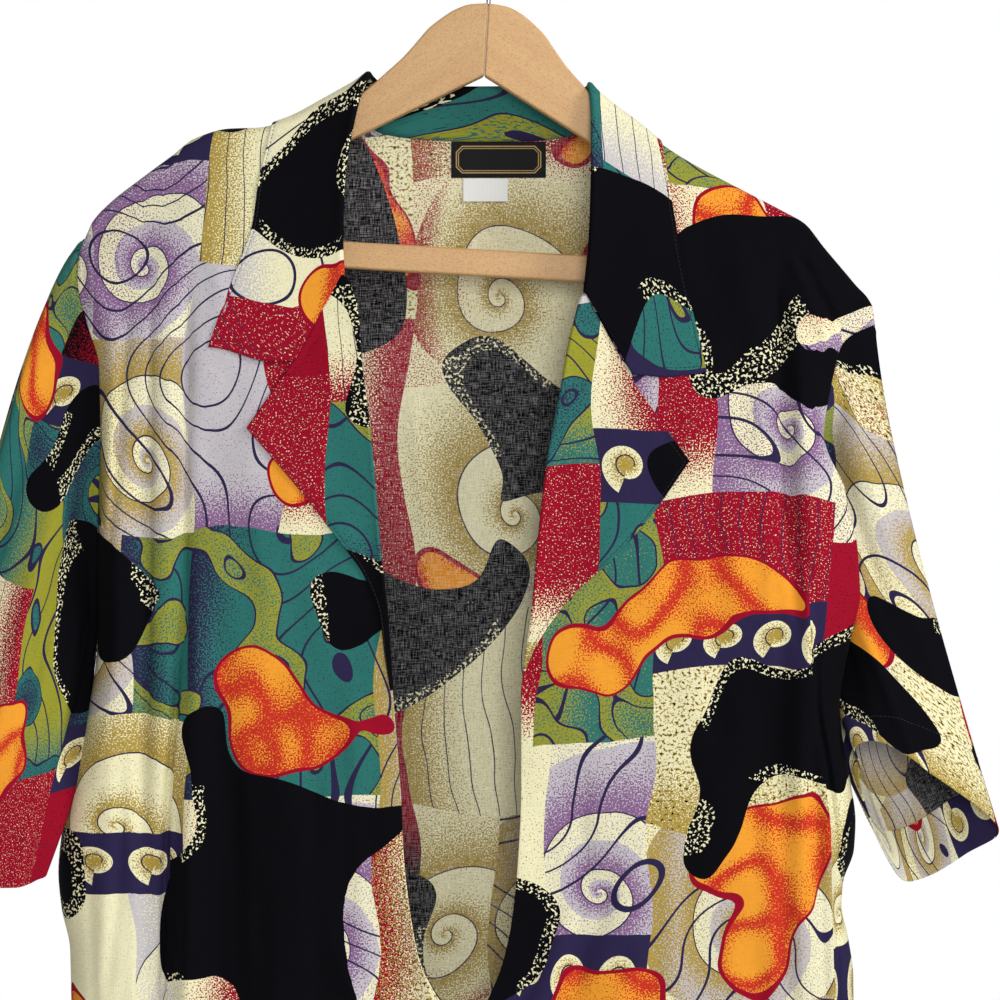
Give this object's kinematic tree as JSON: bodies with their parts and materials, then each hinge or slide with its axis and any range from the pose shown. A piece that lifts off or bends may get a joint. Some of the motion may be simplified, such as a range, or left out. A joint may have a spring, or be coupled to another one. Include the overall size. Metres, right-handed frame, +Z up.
{
  "type": "shirt on hanger",
  "caption": "Short-sleeved camp-collar shirt, its front open and its lapels turned back, hung on a flat wooden hanger with a trouser bar and a wire hook.",
  "frame": {"origin": "the inside top of the hanger's hook, where the rail or peg that holds it up touches it", "axes": "+Z up, the shirt's front faces -Y, +X on the right of someone who looks at its front"},
  "size_m": [0.7367, 0.0916, 0.8412],
  "materials": {
    "printed_cloth": "matt plain weave, printed",
    "label_cloth": "woven, black with a gold border",
    "tab_cloth": "white tape",
    "button_plastic": "polished, dark",
    "hanger_wood": "clear satin lacquer on pale hardwood",
    "hook_steel": "bright plated wire"
  },
  "bodies": {
    "root": {"back": "printed_cloth", "front_left": "printed_cloth", "front_right": "printed_cloth", "lapel_left": "printed_cloth", "lapel_right": "printed_cloth", "collar": "printed_cloth", "sleeve_left": "printed_cloth", "sleeve_right": "printed_cloth", "neck_label": "label_cloth", "care_tab": "tab_cloth", "button": "button_plastic", "hanger_arm_left": "hanger_wood", "hanger_arm_right": "hanger_wood", "trouser_bar": "hanger_wood", "hanger_hook": "hook_steel"}
  },
  "joints": []
}
